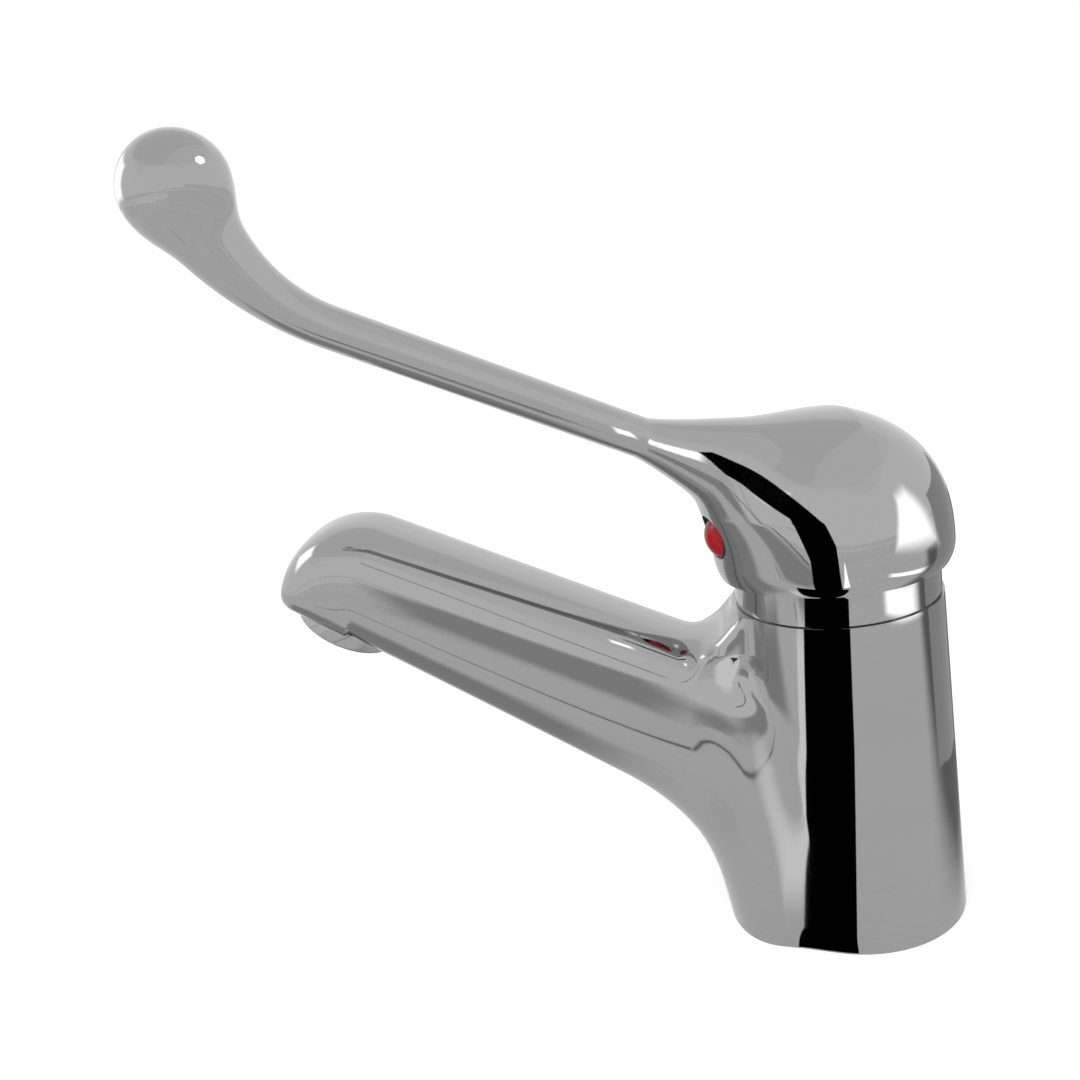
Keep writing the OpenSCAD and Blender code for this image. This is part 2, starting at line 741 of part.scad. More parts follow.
module index_plug() {
    color(black) at_index()
    difference() {
        translate([0, 0, -plug_len]) cylinder(r = plug_r, h = plug_len);
        translate([0, 0, -lens_seat]) cylinder(r = plug_r - plug_wall, h = lens_seat + over);
    }
}

module index_lens() {
    lens_r = plug_r - plug_wall - seat_gap / 2;
    ball_r = (pow(lens_r, 2) + pow(lens_dome, 2)) / (2 * lens_dome);
    color(red) at_index() {
        translate([0, 0, -lens_seat]) cylinder(r = lens_r, h = lens_seat);
        intersection() {
            translate([0, 0, lens_dome - ball_r]) sphere(r = ball_r);
            cylinder(r = lens_r, h = lens_dome + over);
        }
    }
}

module aerator_housing() {
    color(chrome) at_outlet()
    difference() {
        union() {
            cylinder(r = rim_r, h = rim_h);
            cylinder(r = sleeve_r, h = rim_h + sleeve_len);
        }
        translate([0, 0, -over]) cylinder(r = sleeve_r - sleeve_wall, h = rim_h + sleeve_len + 2 * over);
    }
}

// Rows of small holes inside a circle
module hole_field(r, h) {
    reach = ceil(r / screen_pitch);
    for (i = [-reach:reach], j = [-reach:reach]) {
        if (norm([i, j]) * screen_pitch < r - 1.6 * screen_hole_r) {
            translate([i * screen_pitch, j * screen_pitch, 0])
                cylinder(r = screen_hole_r, h = h, $fn = 16);
        }
    }
}

module aerator_insert() {
    color(white) at_outlet()
    difference() {
        translate([0, 0, insert_z]) cylinder(r = insert_r, h = insert_top - insert_z);
        translate([0, 0, insert_z + insert_floor]) cylinder(r = insert_r - sleeve_wall, h = insert_top);
        hole_field(insert_r, insert_z + insert_floor + over);
    }
}

module aerator_screen() {
    color(grey) at_outlet()
    difference() {
        translate([0, 0, insert_top]) cylinder(r = insert_r, h = screen_t);
        translate([0, 0, insert_top - over]) hole_field(insert_r, screen_t + 2 * over);
    }
}

module aerator_washer() {
    color(black) at_outlet() translate([0, 0, rim_h + sleeve_len])
        ring(sleeve_r, sleeve_r - 2 * sleeve_wall, washer_t);
}

module base_gasket() {
    color(black) ring(foot_seal_r, foot_seal_in, foot_seal_t);
}

body_casting();
collar_ring();
cartridge_nut();
cartridge_housing();
cartridge_base();
port_seals();
disc_gasket();
fixed_disc();
moving_disc();
disc_driver();
stem_carrier();
pivot_pin();
control_stem();
stem_sleeve();
lever_casting();
grub_screw();
index_plug();
index_lens();
aerator_housing();
aerator_insert();
aerator_screen();
aerator_washer();
base_gasket();
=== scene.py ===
"""Basin mixer tap: the polished casting, the lever and their trim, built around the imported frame.

Shapes are worked out in millimetres, with s as the distance in front of the column's axis (s = -y).
In the names of sizes, S and Z are places ahead of that axis and above the deck, R is a radius, H a height,
HW and HT are half a width and half a height, and T is a thickness.
"""

import json
import math

import bmesh
import bpy
import numpy as np
from mathutils import Matrix, Vector


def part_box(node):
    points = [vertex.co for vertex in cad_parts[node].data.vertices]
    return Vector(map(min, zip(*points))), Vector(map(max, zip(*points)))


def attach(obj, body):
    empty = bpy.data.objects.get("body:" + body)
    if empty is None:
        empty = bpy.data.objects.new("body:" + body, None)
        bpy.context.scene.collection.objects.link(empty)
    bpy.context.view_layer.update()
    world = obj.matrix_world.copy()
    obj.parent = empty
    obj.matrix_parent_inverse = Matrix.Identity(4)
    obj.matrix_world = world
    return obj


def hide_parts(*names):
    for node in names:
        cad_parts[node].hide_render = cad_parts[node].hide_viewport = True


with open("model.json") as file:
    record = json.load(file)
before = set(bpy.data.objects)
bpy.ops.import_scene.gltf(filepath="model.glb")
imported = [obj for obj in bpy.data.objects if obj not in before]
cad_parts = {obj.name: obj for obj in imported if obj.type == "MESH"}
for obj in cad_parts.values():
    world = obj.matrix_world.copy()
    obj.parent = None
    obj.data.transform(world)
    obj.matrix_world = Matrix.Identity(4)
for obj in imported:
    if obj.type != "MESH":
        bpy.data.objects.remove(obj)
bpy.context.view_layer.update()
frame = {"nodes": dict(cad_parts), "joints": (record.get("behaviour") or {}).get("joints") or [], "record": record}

MM = 0.001


def span(node):
    """Lowest and highest corner of a CAD node in millimetres."""
    low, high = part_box(node)
    return np.array(low) / MM, np.array(high) / MM


def joint(name):
    """A joint of the frame by its name."""
    return next(j for j in frame["joints"] if j["name"] == name)


def mount_size(name):
    """Radius and length in millimetres of a mount in the record."""
    dims = next(m for m in frame["record"]["mounts"] if m["name"] == name)["dims"]
    return dims["r_mm"], dims["length_mm"]


# Sizes read off the frame
body_low, body_high = span("body_casting")
collar_low, collar_high = span("collar_ring")
seal_high = span("base_gasket")[1]
lever_top = span("lever_casting")[1][2]
rim_r = span("aerator_housing")[1][0]
sleeve_r = span("aerator_washer")[1][0]
base_r = body_high[1]
nose_s = -body_low[1]
body_h = collar_low[2]
collar_r = collar_high[0]
collar_top = collar_high[2]
pivot_z = joint("handle_lift")["pos_m"][2] / MM
lift_axis = joint("handle_lift")["axis"]
handle_turn = math.atan2(-lift_axis[1], -lift_axis[0])
chamber_low, chamber_high = span("cartridge_base")
nut_z = span("cartridge_nut")[0][2]
recess_r, recess_h = mount_size("foot_recess")

# Column
NECK_R = 24.4

# Spout
TOP_ANGLE = math.radians(26.1)
UNDER_ANGLE = math.radians(33.9)
FRONT_LEAN = math.radians(12)
SPOUT_HW = 16
SPOUT_SQUARE = 2.7
# Least and greatest half height of the spout's section, each with its softness
SPOUT_LEAST = 8
LEAST_SOFT = 4
SPOUT_MOST = 24
MOST_SOFT = 10
# Softness of the edge where the spout's top meets its underside
SPOUT_EDGE = 3
NOSE_R = 20
FRONT_FOOT_S = 31
UNDER_Z = 24.9
ROOT_BLEND = 16

# Prow between the column's head and the spout's top
PROW_TOP_S = 23.4
PROW_FOOT_S = 31.5
PROW_FOOT_Z = 73.4
PROW_HW = 13.2
PROW_DEPTH = 20
# How much the prow narrows on each side for each millimetre that it goes down into the spout
PROW_NARROW = 0.6
PROW_EDGE = 4
PROW_CUT_EDGE = 1

# Fuller front of the foot, which narrows and moves forward as it rises
FOOT_HW = 21.5
FOOT_MID = 14
FOOT_REACH = 16.6
FOOT_TOP = 58
FOOT_TOP_HW = 15
FOOT_SHIFT = 4.3
FOOT_SQUARE = 2.8
FOOT_EDGE = 6

# Softness of the joins of column and foot, post and prow, and post and spout
FOOT_JOIN = 4
PROW_JOIN = 3
SPOUT_JOIN = 7

# Cartridge chamber and gasket groove
CHAMBER_PLAY = 0.3
THREAD_R = 19.5
# Radius of the cut above the collar's seat, clear of the column and short of the spout's top
SEAT_CUT_R = 31
# Radius of the cut below the deck
DECK_CUT_R = 60
SEAL_IN = 21.2

# Outlet
OUTLET_S = 121.4
OUTLET_Z = 83.8
OUTLET_TILT = math.radians(32)
RIM_H = 4.2
SLEEVE_LEN = 7
SLEEVE_WALL = 1.4
WASHER_T = 2

# Collar ring
COLLAR_WALL = 2.6

# Hub, which stands clear of the collar ring by a small gap
HUB_GAP = 0.3
hub_z = collar_top + HUB_GAP
# Radius at the dome's widest belt
HUB_R = 27.3
HUB_BELT_Z = 95
# Half height of the dome's section below its widest belt
HUB_BELLY = 12.9
HUB_TOP = 124.8
HUB_SQUARE = 2.25
# Radius of the cut below the hub
HUB_CUT_R = 40
LIP_R = 25.35
HOLLOW_R = 24.38
CHIN_S = 10
CHIN_R = LIP_R - CHIN_S
CHIN_FLARE = 4
CHIN_TOP = 107
# Where the chin starts to round off below its top, how far it would rise from there, and how squarely
CHIN_ROUND = 6
CHIN_RISE = 18
CHIN_SQUARE = 2.4
CHIN_JOIN = 6
BOSS_R = 9
BOSS_Z = 97
SOCKET_SIDE = 10.4
SOCKET_TOP = 116.1

# Arm from its root in the hub to the bend, and the ball end
ARM_ANGLE = math.radians(29)
ARM_S = 66
ARM_Z = 140.3
ARM_HT = 4.5
ARM_HW = 6.2
ROOT_HT = 20
ROOT_HW = 19
ROOT_RAISE = 0.8
ROOT_START = 6
ROOT_POWER = 1.25
ARM_SQUARE = 2.2
ARM_JOIN = 7
# Half height of the neck under the ball end, as a share of the ball's radius
NECK_SHARE = 0.85
ARM_OUT = 44
BEND_S = 106
BEND_CORNER_S = 124
KNOB_S = 130.7
KNOB_R = 11.3
KNOB_Z = lever_top - KNOB_R
# How much the soft blend with the arm swells the ball end
KNOB_SWELL = 0.6
# Softness of the join of ball end and arm
KNOB_JOIN = 4

# Index button
INDEX_Z = 101.8
PLUG_R = 5.2
PLUG_LEN = 7
PLUG_WALL = 0.6
PLUG_PROUD = 0.9
LENS_DOME = 2.2
LENS_SEAT = 1.6

# Play between a piece and its seat
FIT = 0.1
# How far a cutting solid reaches past the face it cuts: just through it, well clear of it, and far beside it
OVER = 1
CLEAR = 10
FAR_CLEAR = 20
# How far a skin reaches past the plane that cuts it off
SPARE = 3

# The box that each skin is sought in, and its grid's step
BODY_SPAN = ((-29, -137, -6), (29, 28, 116))
BODY_STEP = 1.0
LEVER_SPAN = ((-31, -146, 82), (31, 31, 210))
LEVER_STEP = 0.9

# Working out a skin: the step for slopes, the rounds that even it out and pull it in, and its least slope
SLOPE_STEP = 0.05
EVEN_ROUNDS = 5
PULL_ROUNDS = 3
LEAST_STEEPNESS = 0.05
# Rounds of Newton's method on the arm's bend, and the least share of its speed that they divide by
BEND_ROUNDS = 6
BEND_GUARD = 0.3
# Corners this near the skin and this close in direction take the field's slope as their normal
SKIN_NEAR = 0.2
SKIN_AGREES = 0.9
SHARP_ANGLE = 35

# Sides of turned pieces
SIDES = 96
FINE_SIDES = 128
COLLAR_SIDES = 160
# Points on a rounded edge and on the lens, and places round a curved card
EDGE_POINTS = 6
DOME_POINTS = 14
CARD_POINTS = 13

# Camera: its place, its yaw from the column, its pitch down and its roll in degrees, its lens in millimetres,
# and the nearest distance that it sees
CAMERA_PLACE = (295.2, -16.25, 189.8)
CAMERA_TURNS = (-10.142, 16.37, -8.218)
CAMERA_LENS = 43.1
CAMERA_NEAR = 10

# Lamp: its power in watts, its side, its place and the point that it faces
LAMP_POWER = 9
LAMP_SIZE = 1200
LAMP_PLACE = (900, -500, 1500)
LAMP_AIM = (0, -30, 100)


def soft_min(a, b, k):
    """The lower of two fields, with the corner between them rounded."""
    h = np.clip(0.5 + 0.5 * (b - a) / k, 0, 1)
    return b * (1 - h) + a * h - k * h * (1 - h)


def soft_max(a, b, k):
    """The higher of two fields, with the corner between them rounded."""
    return -soft_min(-a, -b, k)


def oval(a, b, squareness):
    """Zero on a rounded box's outline, where a and b are the offsets over its half sizes."""
    return (np.abs(a) ** squareness + np.abs(b) ** squareness) ** (1 / squareness) - 1


def slopes(shape, p):
    """A field's value and its slope along x, y and z."""
    value = shape(p)
    steps = SLOPE_STEP * np.eye(3)
    return value, np.stack([(shape(p + step) - value) / SLOPE_STEP for step in steps], axis=-1)


def distance(shape, p):
    """A field turned into millimetres near its surface."""
    value, slope = slopes(shape, p)
    return value / np.maximum(np.linalg.norm(slope, axis=-1), 1e-3)


def column(p):
    """The round, tapering column."""
    radius = base_r + (NECK_R - base_r) * p[:, 2] / body_h
    return np.hypot(p[:, 0], p[:, 1]) - radius


def spout_section(p):
    """The spout as a rounded box about the middle between its top and its underside."""
    x, s, z = p[:, 0], -p[:, 1], p[:, 2]
    nose_mid_s = nose_s - NOSE_R
    nose_mid_z = (PROW_FOOT_Z + (nose_mid_s - PROW_FOOT_S) * math.tan(TOP_ANGLE)
                  - NOSE_R / math.cos(TOP_ANGLE))
    ds = s - nose_mid_s
    dz = z - nose_mid_z
    above = dz * math.cos(TOP_ANGLE) - ds * math.sin(TOP_ANGLE) - NOSE_R
    ahead = ds * math.cos(TOP_ANGLE) + dz * math.sin(TOP_ANGLE)
    top = np.where(ahead > 0, np.hypot(ds, dz) - NOSE_R, above)
    wall = (s - FRONT_FOOT_S) * math.cos(FRONT_LEAN) - z * math.sin(FRONT_LEAN)
    under = (UNDER_Z - z) * math.cos(UNDER_ANGLE) + (s - FRONT_FOOT_S) * math.sin(UNDER_ANGLE)
    low = soft_min(wall, under, ROOT_BLEND)
    half = soft_max(soft_min(-(top + low) / 2, SPOUT_MOST, MOST_SOFT), SPOUT_LEAST, LEAST_SOFT)
    side = soft_max(top, low, SPOUT_EDGE)
    return oval(np.maximum(0, 1 + side / half), x / SPOUT_HW, SPOUT_SQUARE)


def foot_section(p):
    """The foot's fuller front."""
    t = np.clip(p[:, 2] / FOOT_TOP, 0, 1)
    half = FOOT_HW + (FOOT_TOP_HW - FOOT_HW) * t
    return oval(p[:, 0] / half, (-p[:, 1] - FOOT_MID - FOOT_SHIFT * t) / FOOT_REACH, FOOT_SQUARE)


def prow(p):
    """The square-shouldered block that carries the collar forward onto the spout."""
    slant = math.atan2(body_h - PROW_FOOT_Z, PROW_FOOT_S - PROW_TOP_S)
    face = (-p[:, 1] - PROW_TOP_S) * math.sin(slant) + (p[:, 2] - body_h) * math.cos(slant)
    depth = np.maximum(0, PROW_FOOT_Z - p[:, 2])
    block = np.maximum(-p[:, 1] - PROW_FOOT_S, depth - PROW_DEPTH)
    side = np.abs(p[:, 0]) - PROW_HW + depth * PROW_NARROW
    return soft_max(soft_max(face, side, PROW_EDGE), np.maximum(block, p[:, 1]), PROW_CUT_EDGE)


def body_shape(p):
    """The whole body casting before its hollows are cut."""
    spout = np.maximum(distance(spout_section, p), p[:, 1])
    foot = soft_max(distance(foot_section, p), p[:, 2] - FOOT_TOP, FOOT_EDGE)
    post = soft_min(column(p), foot, FOOT_JOIN)
    post = np.maximum(soft_min(post, prow(p), PROW_JOIN), p[:, 2] - body_h - SPARE)
    return np.maximum(soft_min(post, spout, SPOUT_JOIN), -SPARE - p[:, 2])


def dome_section(p):
    """The hub's dome, lower and rounder below its belt."""
    high = (p[:, 2] - HUB_BELT_Z) / (HUB_TOP - HUB_BELT_Z)
    low = (HUB_BELT_Z - p[:, 2]) / HUB_BELLY
    return oval(np.hypot(p[:, 0], p[:, 1]) / HUB_R, np.maximum(high, low), HUB_SQUARE)


def chin_section(p):
    """The hub's front, which flares forward as it rises and holds the button."""
    radius = CHIN_R + CHIN_FLARE * np.clip((p[:, 2] - hub_z) / (CHIN_TOP - hub_z), -1, 1)
    high = np.maximum(0, p[:, 2] - CHIN_TOP + CHIN_ROUND) / CHIN_RISE
    return oval(np.hypot(p[:, 0], -p[:, 1] - CHIN_S) / radius, high, CHIN_SQUARE)


def arm_section(p):
    """The swelling root, the plain arm and the bend up into the ball, measured along the arm's slope."""
    away = -p[:, 1] - ARM_S
    rise = p[:, 2] - ARM_Z
    along = away * math.cos(ARM_ANGLE) + rise * math.sin(ARM_ANGLE)
    across = rise * math.cos(ARM_ANGLE) - away * math.sin(ARM_ANGLE)
    places = (ROOT_START, ARM_OUT, BEND_S, BEND_CORNER_S)
    start, out, bend, corner = [(s - ARM_S) / math.cos(ARM_ANGLE) for s in places]
    end = (KNOB_S - ARM_S) * math.cos(ARM_ANGLE) + (KNOB_Z - ARM_Z) * math.sin(ARM_ANGLE)
    lift = (KNOB_Z - ARM_Z) * math.cos(ARM_ANGLE) - (KNOB_S - ARM_S) * math.sin(ARM_ANGLE)
    pull = end - 2 * corner + bend

    def off_bend(t):
        """How far the points lie ahead of the bend's place t, and above it."""
        return along - bend - 2 * (corner - bend) * t - pull * t ** 2, across - lift * t ** 2

    # The nearest place on the bend, by a few steps of Newton's method
    t = np.clip((along - bend) / (end - bend), 0, 1)
    for _ in range(BEND_ROUNDS):
        run = 2 * (corner - bend + pull * t)
        climb = 2 * lift * t
        ahead, above = off_bend(t)
        speed = run ** 2 + climb ** 2
        turn = np.maximum(speed - 2 * (ahead * pull + above * lift), BEND_GUARD * speed)
        t = np.clip(t + (ahead * run + above * climb) / turn, 0, 1)
    ahead, above = off_bend(t)
    ahead = np.where(t > 0, ahead, np.minimum(0, along - start))
    swell = np.clip((out - along) / (out - start), 0, 1) ** ROOT_POWER
    above = above - 4 * ROOT_RAISE * swell * (1 - swell)
    neck = NECK_SHARE * KNOB_R
    ht = ARM_HT + (ROOT_HT - ARM_HT) * swell + (neck - ARM_HT) * t ** 2
    hw = ARM_HW + (ROOT_HW - ARM_HW) * swell + (neck - ARM_HW) * t ** 2
    return oval(p[:, 0] / hw, np.hypot(above, ahead) / ht, ARM_SQUARE)


def lever_shape(p):
    """The hub, the arm and the ball end, before the handle is turned."""
    hub = soft_min(distance(dome_section, p), distance(chin_section, p), CHIN_JOIN)
    ball = np.linalg.norm(p - [0, -KNOB_S, KNOB_Z], axis=1) - (KNOB_R - KNOB_SWELL)
    shape = soft_min(hub, distance(arm_section, p), ARM_JOIN)
    shape = soft_min(shape, ball, KNOB_JOIN)
    return np.maximum(shape, hub_z - SPARE - p[:, 2])


def skin(shape, low, high, step):
    """Points and four-sided faces of a field's surface, one point in each grid cell that it crosses."""
    low = np.array(low, float)
    count = np.ceil((np.array(high) - low) / step).astype(int) + 1
    lines = [low[i] + step * np.arange(count[i]) for i in range(3)]
    grid = np.stack(np.meshgrid(*lines, indexing="ij"), axis=-1).reshape(-1, 3)
    value = shape(grid).reshape(count)
    inside = value < 0
    corners = [(i, j, k) for i in (0, 1) for j in (0, 1) for k in (0, 1)]
    filled = sum(inside[i:count[0] - 1 + i, j:count[1] - 1 + j, k:count[2] - 1 + k].astype(int)
                 for i, j, k in corners)
    cells = np.argwhere((filled > 0) & (filled < 8))
    number = np.full(filled.shape, -1)
    number[tuple(cells.T)] = np.arange(len(cells))
    middle = np.zeros((len(cells), 3))
    crossings = np.zeros((len(cells), 1))
    for a in corners:
        for axis in range(3):
            if a[axis]:
                continue
            start = cells + a
            end = start.copy()
            end[:, axis] += 1
            va = value[tuple(start.T)]
            vb = value[tuple(end.T)]
            crossed = (va < 0) != (vb < 0)
            share = np.where(crossed, va / np.where(crossed, va - vb, 1), 0)
            place = start.astype(float)
            place[:, axis] += share
            middle += place * crossed[:, None]
            crossings += crossed[:, None]
    points = low + step * middle / crossings
    faces = []
    for axis in range(3):
        u, v = (axis + 1) % 3, (axis + 2) % 3
        edge = np.diff(inside.astype(int), axis=axis)
        for sign in (-1, 1):
            at = np.argwhere(edge == sign)
            at = at[(at[:, u] > 0) & (at[:, v] > 0)]
            at = at[(at[:, u] < count[u] - 1) & (at[:, v] < count[v] - 1)]
            ring = []
            for du, dv in ((0, 0), (1, 0), (1, 1), (0, 1)):
                cell = at.copy()
                cell[:, u] -= du
                cell[:, v] -= dv
                ring.append(number[tuple(cell.T)])
            faces.append(np.stack(ring[::-sign], axis=1))
    faces = np.concatenate(faces)
    return settle(shape, points, faces, step), faces


def settle(shape, points, faces, step):
    """Evens out the points, and moves each onto the surface."""
    ends = np.concatenate([faces[:, [0, 1]], faces[:, [1, 2]], faces[:, [2, 3]], faces[:, [3, 0]]])
    ends = np.concatenate([ends, ends[:, ::-1]])
    neighbours = np.bincount(ends[:, 0], minlength=len(points))[:, None]
    for _ in range(EVEN_ROUNDS):
        total = np.stack([np.bincount(ends[:, 0], points[ends[:, 1], i], len(points))
                          for i in range(3)], axis=1)
        points = (points + total / neighbours) / 2
        for _ in range(PULL_ROUNDS):
            value, slope = slopes(shape, points)
            steepness = np.maximum((slope ** 2).sum(axis=1), LEAST_STEEPNESS)
            move = -slope * (value / steepness)[:, None]
            length = np.maximum(np.linalg.norm(move, axis=1), 1e-9)
            points = points + move * np.minimum(1, step / length)[:, None]
    return points


def add_mesh(name, points, faces):
    """An object from points in millimetres and the faces between them."""
    mesh = bpy.data.meshes.new(name)
    mesh.from_pydata((np.asarray(points) * MM).tolist(), [], [list(map(int, f)) for f in faces])
    mesh.validate()
    obj = bpy.data.objects.new(name, mesh)
    bpy.context.scene.collection.objects.link(obj)
    return obj


def lathe(name, outline, place=Matrix.Identity(4), sides=SIDES):
    """A closed solid from points of radius and height, turned about Z and then put in its place.

    An outline that starts and ends on the axis gives a plain solid, and any other outline a ring.
    """
    bm = bmesh.new()
    rings = []
    for r, z in outline:
        if r == 0:
            rings.append([bm.verts.new(place @ Vector((0, 0, z)))] * sides)
            continue
        rings.append([bm.verts.new(place @ Vector((r * math.cos(a), r * math.sin(a), z)))
                      for a in (2 * math.pi * i / sides for i in range(sides))])
    on_axis = outline[0][0] == 0
    pairs = list(zip(rings[:-1], rings[1:])) if on_axis else list(zip(rings, rings[1:] + rings[:1]))
    for low, high in pairs:
        for i in range(sides):
            corners = [low[i], low[(i + 1) % sides], high[(i + 1) % sides], high[i]]
            bm.faces.new(list(dict.fromkeys(corners)))
    bmesh.ops.recalc_face_normals(bm, faces=bm.faces)
    bmesh.ops.scale(bm, vec=(MM, MM, MM), verts=bm.verts)
    mesh = bpy.data.meshes.new(name)
    bm.to_mesh(mesh)
    bm.free()
    obj = bpy.data.objects.new(name, mesh)
    bpy.context.scene.collection.objects.link(obj)
    return obj


def rod(name, radius, z0, z1, place=Matrix.Identity(4), sides=SIDES):
    """A round rod between two heights."""
    return lathe(name, [(0, z0), (radius, z0), (radius, z1), (0, z1)], place, sides)


def square_rod(name, side, z0, z1):
    """A square rod between two heights."""
    half = side / math.sqrt(2)
    return rod(name, half, z0, z1, Matrix.Rotation(math.pi / 4, 4, "Z"), 4)


def combine(obj, tool, operation):
    """Joins a solid to an object or cuts it out, and deletes the solid."""
    modifier = obj.modifiers.new("combine", "BOOLEAN")
    modifier.object = tool
    modifier.operation = operation
    modifier.solver = "EXACT"
    done = bpy.data.meshes.new_from_object(obj.evaluated_get(bpy.context.evaluated_depsgraph_get()))
    obj.modifiers.remove(modifier)
    done.name = obj.name
    obj.data = done
    bpy.data.objects.remove(tool)
    return obj


def polish(obj, shape, place=Matrix.Identity(4)):
    """Shades the outer surface by the field's own slope, and the cut faces by their edges."""
    mesh = obj.data
    mesh.shade_smooth()
    mesh.set_sharp_from_angle(angle=math.radians(SHARP_ANGLE))
    count = len(mesh.loops)
    normals = np.zeros(count * 3)
    mesh.corner_normals.foreach_get("vector", normals)
    normals = normals.reshape(-1, 3)
    corner = np.zeros(count, int)
    mesh.loops.foreach_get("vertex_index", corner)
    points = np.zeros(len(mesh.vertices) * 3)
    mesh.vertices.foreach_get("co", points)
    back = np.array(place.inverted().to_3x3())
    points = points.reshape(-1, 3) / MM @ back.T
    value, slope = slopes(shape, points)
    slope = slope / np.maximum(np.linalg.norm(slope, axis=1), 1e-6)[:, None] @ np.linalg.inv(back).T
    agrees = (normals * slope[corner]).sum(axis=1) > SKIN_AGREES
    outer = agrees & (np.abs(value[corner]) < SKIN_NEAR)
    normals[outer] = slope[corner[outer]]
    mesh.normals_split_custom_set(normals.tolist())
    return obj


def smooth(obj, angle=SHARP_ANGLE):
    """Shades a turned piece smoothly but for its sharp edges."""
    obj.data.shade_smooth()
    obj.data.set_sharp_from_angle(angle=math.radians(angle))
    return obj


def noise(nodes, scale, detail=3):
    """A fine texture that sits fast on the object."""
    place = nodes.new("ShaderNodeTexCoord")
    texture = nodes.new("ShaderNodeTexNoise")
    texture.inputs["Scale"].default_value = scale
    texture.inputs["Detail"].default_value = detail
    nodes.id_data.links.new(place.outputs["Object"], texture.inputs["Vector"])
    return texture.outputs["Fac"]


def spread(nodes, fac, low, high):
    """Turns a texture's 0 to 1 into a low to high value."""
    node = nodes.new("ShaderNodeMapRange")
    node.inputs["To Min"].default_value = low
    node.inputs["To Max"].default_value = high
    nodes.id_data.links.new(fac, node.inputs["Value"])
    return node.outputs["Result"]


# A finish's colour noise is this much broader than its fine noise, which spreads the roughness by this share
BROADER = 8
ROUGH_SPREAD = 0.3
# Depth in millimetres of a finish's relief at full strength
RELIEF = 0.05


def material(name, color, rough, metal=0.0, scale=300, tint=0.06, bump=0.0, **sockets):
    """A finish with a little noise in its colour, its roughness and its surface."""
    mat = bpy.data.materials.new(name)
    mat.use_nodes = True
    tree = mat.node_tree
    links = tree.links
    shader = tree.nodes["Principled BSDF"]
    shader.inputs["Metallic"].default_value = metal
    for socket, value in sockets.items():
        shader.inputs[socket.replace("_", " ")].default_value = value
    fine = noise(tree.nodes, scale)
    broad = noise(tree.nodes, scale / BROADER, 2)
    ramp = tree.nodes.new("ShaderNodeValToRGB")
    ramp.color_ramp.elements[0].color = (*[c * (1 - tint) for c in color], 1)
    ramp.color_ramp.elements[1].color = (*[min(1, c * (1 + tint)) for c in color], 1)
    links.new(broad, ramp.inputs["Fac"])
    links.new(ramp.outputs["Color"], shader.inputs["Base Color"])
    roughness = spread(tree.nodes, fine, rough * (1 - ROUGH_SPREAD), rough * (1 + ROUGH_SPREAD))
    links.new(roughness, shader.inputs["Roughness"])
    if bump:
        relief = tree.nodes.new("ShaderNodeBump")
        relief.inputs["Strength"].default_value = bump
        relief.inputs["Distance"].default_value = RELIEF * MM
        links.new(fine, relief.inputs["Height"])
        links.new(relief.outputs["Normal"], shader.inputs["Normal"])
    return mat


FINISHES = {
    "chrome": material("polished chrome", (0.4, 0.4, 0.405), 0.06, metal=1, scale=60, tint=0.015),
    "brass": material("machined brass", (0.72, 0.52, 0.24), 0.3, metal=1, bump=0.2),
    "white_plastic": material("white plastic", (0.8, 0.8, 0.77), 0.45, bump=0.1),
    "grey_plastic": material("grey plastic", (0.34, 0.35, 0.37), 0.45, bump=0.1),
    "black_plastic": material("black plastic", (0.02, 0.02, 0.022), 0.35, tint=0.3, bump=0.1),
    "ceramic": material("ceramic", (0.84, 0.82, 0.76), 0.15, tint=0.02),
    "rubber": material("rubber", (0.03, 0.03, 0.03), 0.65, tint=0.3, bump=0.3),
    "steel": material("turned steel", (0.55, 0.56, 0.57), 0.28, metal=1, bump=0.2),
    "red_lens": material("red lens", (0.36, 0.004, 0.008), 0.12, tint=0.3, scale=500,
                         Specular_IOR_Level=0.25),
}
NODE_FINISHES = {
    "cartridge_nut": "brass", "control_stem": "brass", "cartridge_housing": "white_plastic",
    "stem_sleeve": "white_plastic", "aerator_insert": "white_plastic", "cartridge_base": "grey_plastic",
    "disc_driver": "grey_plastic", "stem_carrier": "black_plastic", "fixed_disc": "ceramic",
    "moving_disc": "ceramic", "port_seals": "rubber", "disc_gasket": "rubber", "aerator_washer": "rubber",
    "base_gasket": "rubber", "pivot_pin": "steel", "grub_screw": "steel", "aerator_screen": "steel",
}


def dress(obj, finish, body, *nodes):
    """Gives a piece its finish and its body, in place of the CAD nodes that it stands for."""
    obj.data.materials.clear()
    obj.data.materials.append(FINISHES[finish])
    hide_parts(*nodes)
    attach(obj, body)
    return obj


# A turn about Z for the handle, and the places of the outlet and the button with +Z along their axes
turned = Matrix.Rotation(handle_turn, 4, "Z")
at_outlet = (Matrix.Translation((0, -OUTLET_S, OUTLET_Z)) @ Matrix.Rotation(-OUTLET_TILT, 4, "X"))
index_face = CHIN_S + CHIN_R + CHIN_FLARE * (INDEX_Z - hub_z) / (CHIN_TOP - hub_z)
at_index = (turned @ Matrix.Translation((0, -index_face - PLUG_PROUD, INDEX_Z))
            @ Matrix.Rotation(math.pi / 2, 4, "X"))


